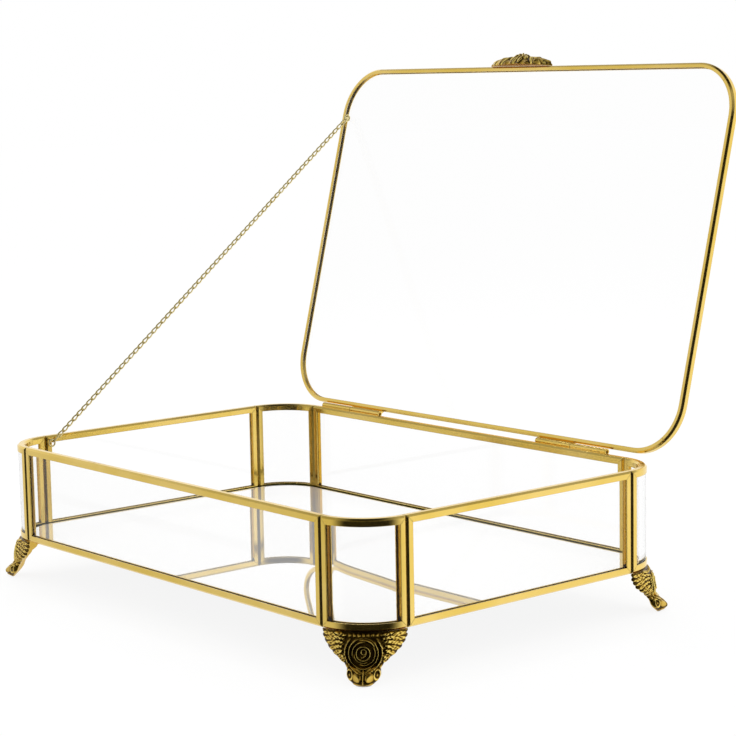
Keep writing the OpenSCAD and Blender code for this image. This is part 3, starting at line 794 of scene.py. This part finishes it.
@dataclass
class CurbChain:
    """The stay chain of twisted curb links, taut while the lid is open.

    Each link's share of the lid's swing is worked out, chosen so that the slack chain would lie
    inside the closed box; the links are built at rest and don't turn with it.
    """

    casket: Casket
    finish: bpy.types.Material
    links: int = 66
    wire_mm: float = 0.76
    width_mm: float = 2.5  # the blurred photograph shows them finer than the solids' 3 mm
    set_width_mm: float = 3.0
    play_mm: float = 0.05
    eye_mm: float = 1.7
    eye_wire_mm: float = 0.4
    stay_set_mm: float = 27.8  # from the front to both eyes
    clear_mm: float = 0.2  # from the channel to the chain's side and to the lower eye
    shift_mm: float = 0.35  # between the two eyes' wires once the lid is shut
    sunk_mm: float = 0.4  # of the upper eye in the lid's channel
    around: int = 30
    sides: int = 9
    swell: float = 0.8  # below 1 the link is squarer than an oval
    heap_mm: float = 1.6  # lowest height of the slack chain's links over the mirror
    fall: float = 0.72  # how steeply the slack chain drops from the eyes, as a share of its length
    lower_eye: np.ndarray = field(init=False)
    upper_eye: np.ndarray = field(init=False)

    def __post_init__(self) -> None:
        """Work out both eyes' centres at rest, as the solids place them."""
        c = self.casket
        y = -c.depth_mm / 2 + self.stay_set_mm
        x = -c.width_mm / 2 + c.came_mm + self.set_width_mm / 2 + self.clear_mm
        self.lower_eye = np.array([x, y, c.wall_mm - c.came_w_mm - self.clear_mm - c.floor_mm])
        closed = np.array([x + 2 * self.eye_wire_mm + self.shift_mm, y,
                           c.lid_z_mm + self.sunk_mm - self.eye_mm - self.eye_wire_mm])
        self.upper_eye = c.open_lid(closed)

    def link(self, centre: np.ndarray, axes: np.ndarray, half: Pair,
             twist: Pair) -> tuple[np.ndarray, np.ndarray]:
        """Points and quads of one link.

        The middle line is a squarish oval whose plane turns evenly from one tilt to the other along
        the chain; a round wire is swept along it.

        Args:
            centre: its middle.
            axes: rows for the chain's direction, its side and its flat normal.
            half: half the middle line's length and width.
            twist: tilts at the lower and upper end in degrees.

        Returns:
            The tube's points and faces.
        """
        def middle(a: np.ndarray) -> np.ndarray:
            """The middle line at angle a."""
            u = half[0] * np.sign(np.cos(a)) * np.abs(np.cos(a)) ** self.swell
            w = half[1] * np.sign(np.sin(a)) * np.abs(np.sin(a)) ** self.swell
            tilt = np.radians(twist[0] + (twist[1] - twist[0]) * (u / half[0] + 1) / 2)
            return (u[:, None] * axes[0] + (w * np.cos(tilt))[:, None] * axes[1]
                    + (w * np.sin(tilt))[:, None] * axes[2])

        a = np.linspace(0, 2 * np.pi, self.around, endpoint=False)
        line = middle(a)
        along = unit(middle(a + 0.02) - middle(a - 0.02))
        side = unit(np.cross(along, axes[2]))
        third = np.cross(along, side)
        b = np.linspace(0, 2 * np.pi, self.sides, endpoint=False)
        ring = (np.cos(b)[None, :, None] * side[:, None, :]
                + np.sin(b)[None, :, None] * third[:, None, :])
        points = centre + line[:, None, :] + self.wire_mm / 2 * ring
        return points.reshape(-1, 3), grid_quads(self.around, self.sides, True, True)

    def shares(self, centres: np.ndarray) -> np.ndarray:
        """Each link's share of the lid's swing.

        With the lid shut, a link keeps its distance from the hinge axis, so its share sets how low
        it hangs. The lower half of the chain drops from the box's eye and the upper half from the
        lid's eye, both down to a heap on the mirror.

        Args:
            centres: (n, 3) middles of the links at rest.

        Returns:
            (n,) shares from 0 to 1.
        """
        y = centres[:, 1] - self.casket.hinge_y_mm
        z = centres[:, 2] - self.casket.hinge_z_mm
        radius = np.hypot(y, z)
        polar = np.degrees(np.arctan2(z, -y))  # above the level line to the front
        n = len(centres)
        i = np.arange(n)
        near = np.minimum(i, n - 1 - i) * np.linalg.norm(centres[1] - centres[0]) + 3.0
        start = self.lower_eye[2]
        drop = np.minimum(start - self.heap_mm, near * self.fall)
        wave = 1.4 * (1 + np.sin(i * 1.9)) * (drop >= start - self.heap_mm - 0.1)
        height = start - drop + wave
        wanted = np.degrees(np.arcsin((height - self.casket.hinge_z_mm) / radius))
        return np.clip((polar - wanted) / self.casket.lid_angle, 0.0, 1.0)

    def build(self) -> list[bpy.types.Object]:
        """Build the links in place of the plain chain."""
        span = self.upper_eye - self.lower_eye
        length = float(np.linalg.norm(span))
        d = span / length
        side = unit(np.cross([1.0, 0.0, 0.0], d))
        axes = np.stack([d, side, np.cross(d, side)])
        reach = self.wire_mm + self.play_mm
        hook = self.eye_mm - self.eye_wire_mm - self.wire_mm / 2 - self.play_mm
        pitch = (length - 2 * hook - reach) / self.links
        half = ((pitch + reach) / 2, (self.width_mm - self.wire_mm) / 2)
        last = self.links - 1
        middles = np.array([self.lower_eye + d * (hook + half[0] + pitch * i)
                            for i in range(self.links)])
        made = []
        for i, share in enumerate(self.shares(middles)):
            twist = (90 if i == 0 else -45, -90 if i == last else 45)
            points, quads = self.link(middles[i], axes, half, twist)
            piece = mesh_object(f"chain_link_{i + 1:02d}", points * MM, outward(points, quads),
                                self.finish)
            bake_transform(piece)
            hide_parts("stay_chain")
            made.append(piece)
        return made


@dataclass
class Solids:
    """The carried-over solids: channel, glass, mirror, felt, hinges and eyes."""

    nodes: dict[str, bpy.types.Object]
    finishes: dict[str, bpy.types.Material]

    def kind(self, name: str) -> str:
        """The finish that a node gets by its name."""
        if name.endswith("_glass"):
            return "glass"
        if name == "mirror_floor":
            return "mirror"
        if name == "mirror_backing":
            return "felt"
        if name.endswith("_pin") or name.endswith("_eye"):
            return "wire"
        return "channel"

    def dress(self) -> None:
        """Give each node its material."""
        for name, node in self.nodes.items():
            node.data.materials.clear()
            node.data.materials.append(self.finishes[self.kind(name)])


# ---------- studio


@dataclass
class Studio:
    """A white table in white surroundings.

    Reflections alone see walls of uneven brightness, a dimmer ceiling and a dark room behind the
    camera, which give the brass its dark lines.
    """

    table_mm: float = -23.5
    table_size: float = 6.0  # half its width in metres
    table_grey: str = "#5E5E5E"  # its share of light from lamp and surroundings
    table_glow: float = 0.89
    eye: tuple[float, float, float] = (0.7792, -0.6259, 0.2224)
    yaw: float = 49.83
    pitch: float = 7.85
    roll: float = 1.08
    focal_px: float = 2126.0
    frame_px: float = 736.0
    sensor_mm: float = 36.0
    dark_azimuth: float = -40.0  # direction of the dark room from the object, from +X
    dark_half: float = 66.0
    dark_edge: Pair = (-0.14, 0.36)  # where it begins and is full, about the cosine of dark_half
    dark_top: Pair = (0.35, 0.8)  # where it ends upwards, as the sine of the elevation
    bright_azimuth: float = 90.0  # the brighter wall; the one opposite is dimmer
    bright_rise: float = 0.5  # how much brighter the walls get upwards
    bright_range: Pair = (-0.75, 0.5)
    dome: tuple[float, ...] = (0.50, 0.60, 0.84, 0.95)  # heights of wall, ceiling and night
    dim: str = "#DADADA"
    ceiling: str = "#B4B4B4"
    night: str = "#16130C"
    lamp_place: tuple[float, float, float] = (-0.75, 0.43, 1.03)
    lamp_size: Pair = (0.36, 0.28)
    lamp_watts: float = 2.5

    def camera(self) -> bpy.types.Object:
        """Place the camera where the photograph was taken from."""
        data = bpy.data.cameras.new("photo_camera")
        data.sensor_width = self.sensor_mm
        data.lens = self.focal_px * self.sensor_mm / self.frame_px
        data.clip_start, data.clip_end = 0.01, 50.0
        yaw, pitch, roll = (math.radians(a) for a in (self.yaw, self.pitch, self.roll))
        ahead = Vector((-math.sin(yaw) * math.cos(pitch), math.cos(yaw) * math.cos(pitch),
                        -math.sin(pitch)))
        right = ahead.cross(Vector((0, 0, 1))).normalized()
        down = ahead.cross(right)
        turned = math.cos(roll) * right + math.sin(roll) * down
        below = -math.sin(roll) * right + math.cos(roll) * down
        camera = bpy.data.objects.new("photo_camera", data)
        turn = Matrix((turned, -below, -ahead)).transposed().to_4x4()
        camera.matrix_world = Matrix.Translation(self.eye) @ turn
        bpy.context.scene.collection.objects.link(camera)
        bpy.context.scene.camera = camera
        return camera

    def darkness(self, tree: Tree, direction: Socket) -> Socket:
        """How deep a level direction lies in the dark room's sector.

        Args:
            tree: the node tree.
            direction: a vector from the object.

        Returns:
            A socket that is 1 inside the sector and 0 outside, with a soft edge.
        """
        a = math.radians(self.dark_azimuth)
        level = add_node(tree, "ShaderNodeVectorMath", {"operation": "MULTIPLY", 1: (1, 1, 0)},
                         {0: direction})
        flat = add_node(tree, "ShaderNodeVectorMath", {"operation": "NORMALIZE"},
                        {0: level.outputs["Vector"]})
        facing = add_node(tree, "ShaderNodeVectorMath",
                          {"operation": "DOT_PRODUCT", 1: (math.cos(a), math.sin(a), 0)},
                          {0: flat.outputs["Vector"]})
        edge = math.cos(math.radians(self.dark_half))
        return stretch(tree, facing.outputs["Value"],
                       (edge + self.dark_edge[0], edge + self.dark_edge[1]), kind="SMOOTHSTEP")

    def reflected(self, tree: Tree) -> Socket:
        """A socket that is 1 for reflections in metal and glass, 0 for what glass lets through."""
        path = add_node(tree, "ShaderNodeLightPath")
        return add_node(tree, "ShaderNodeMath", {"operation": "GREATER_THAN", 1: 0.5},
                        {0: path.outputs["Glossy Depth"]}).outputs["Value"]

    def world(self) -> None:
        """White all round; reflections alone see the uneven walls, the ceiling and the dark."""
        world = bpy.data.worlds.new("white_room")
        bpy.context.scene.world = world
        world.use_nodes = True
        tree = world.node_tree
        tree.nodes.clear()
        direction = add_node(tree, "ShaderNodeTexCoord").outputs["Generated"]
        height = add_node(tree, "ShaderNodeSeparateXYZ", links={0: direction}).outputs["Z"]
        low = stretch(tree, height, self.dark_top, (1.0, 0.0), "SMOOTHSTEP")
        dark = add_node(tree, "ShaderNodeMath", {"operation": "MULTIPLY"},
                        {0: self.darkness(tree, direction), 1: low})
        b = math.radians(self.bright_azimuth)
        lean = add_node(tree, "ShaderNodeVectorMath", {
            "operation": "DOT_PRODUCT", 1: (math.cos(b), math.sin(b), self.bright_rise)},
            {0: direction})
        wall = ramp(tree, stretch(tree, lean.outputs["Value"], self.bright_range),
                    [(0.0, linear(self.dim)), (1.0, WHITE)])
        ceiling, night = linear(self.ceiling), linear(self.night)
        above = ramp(tree, height, list(zip(self.dome, (WHITE, ceiling, ceiling, night))))
        vault = add_node(tree, "ShaderNodeMix",
                         {"data_type": "RGBA", "blend_type": "MULTIPLY", 0: 1.0},
                         {6: wall, 7: above})
        shade = add_node(tree, "ShaderNodeMix", {"data_type": "RGBA", 7: night},
                         {0: dark.outputs["Value"], 6: vault.outputs[2]})
        room = add_node(tree, "ShaderNodeBackground", {"Strength": 1.0},
                        {"Color": shade.outputs[2]})
        white = add_node(tree, "ShaderNodeBackground", {"Color": WHITE, "Strength": 1.0})
        mix = mixed(tree, self.reflected(tree), white, room)
        add_node(tree, "ShaderNodeOutputWorld", links={"Surface": mix.outputs["Shader"]})

    def table(self) -> bpy.types.Object:
        """The white table: it keeps the object's soft shadow, and metal looks past it."""
        material, tree = new_material("white_table")
        diffuse = add_node(tree, "ShaderNodeBsdfDiffuse", {"Color": linear(self.table_grey)})
        glow = add_node(tree, "ShaderNodeEmission", {"Color": WHITE, "Strength": self.table_glow})
        lit = add_node(tree, "ShaderNodeAddShader",
                       links={0: diffuse.outputs["BSDF"], 1: glow.outputs["Emission"]})
        clear = add_node(tree, "ShaderNodeBsdfTransparent")
        finish_tree(tree, mixed(tree, self.reflected(tree), lit, clear).outputs["Shader"])
        size, z = self.table_size, self.table_mm * MM
        square = np.array([[-size, -size, z], [size, -size, z], [size, size, z], [-size, size, z]])
        floor = mesh_object("white_table", square, np.array([[0, 1, 2, 3]]), material)
        return floor

    def lamp(self) -> None:
        """A small soft lamp behind the left side, for the felt, the dust and the table's shadow."""
        data = bpy.data.lights.new("softbox", "AREA")
        data.shape, (data.size, data.size_y) = "RECTANGLE", self.lamp_size
        data.energy = self.lamp_watts
        lamp = bpy.data.objects.new("softbox", data)
        place = Vector(self.lamp_place)
        lamp.location = place
        lamp.rotation_euler = (-place).to_track_quat("-Z", "Y").to_euler()
        lamp.visible_glossy = False  # the photograph's channel shows no glint of a lamp
        bpy.context.scene.collection.objects.link(lamp)

    def build(self) -> None:
        """Set the camera, the surroundings, the table and the lamp."""
        bpy.context.scene.view_settings.view_transform = "Standard"
        self.camera()
        self.world()
        self.table()
        self.lamp()


# ---------- the whole


def main() -> None:
    """Load the solids, dress them, add the detailed pieces and set the studio."""
    logging.basicConfig(level=logging.INFO, format="%(message)s")
    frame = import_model()
    casket = Casket()
    finishes = {
        "channel": PolishedBrass("rolled_brass").build(),
        "wire": PolishedBrass("drawn_brass_wire", pale="#FBEDB4", deep="#F0DC90",
                              roughness=(0.26, 0.4), tone_mm=9.0, wave_mm=3.0,
                              wave_depth_mm=0.006, edge_mm=0.02).build(),
        "cast": CastBrass("cast_brass").build(),
        "glass": SheetGlass("float_glass").build(),
        "mirror": SilveredMirror("silvered_mirror").build(),
        "felt": BlackFelt("black_felt").build(),
    }
    Studio().build()
    Solids(frame["nodes"], finishes).dress()
    pieces = CastFeet(casket, finishes["cast"]).build()
    pieces.append(LidFlower(casket, finishes["cast"]).build())
    pieces += CurbChain(casket, finishes["wire"]).build()
    for piece in pieces:
        LOG.info("%s: %d faces", piece.name, len(piece.data.polygons))


if __name__ == "__main__":
    main()
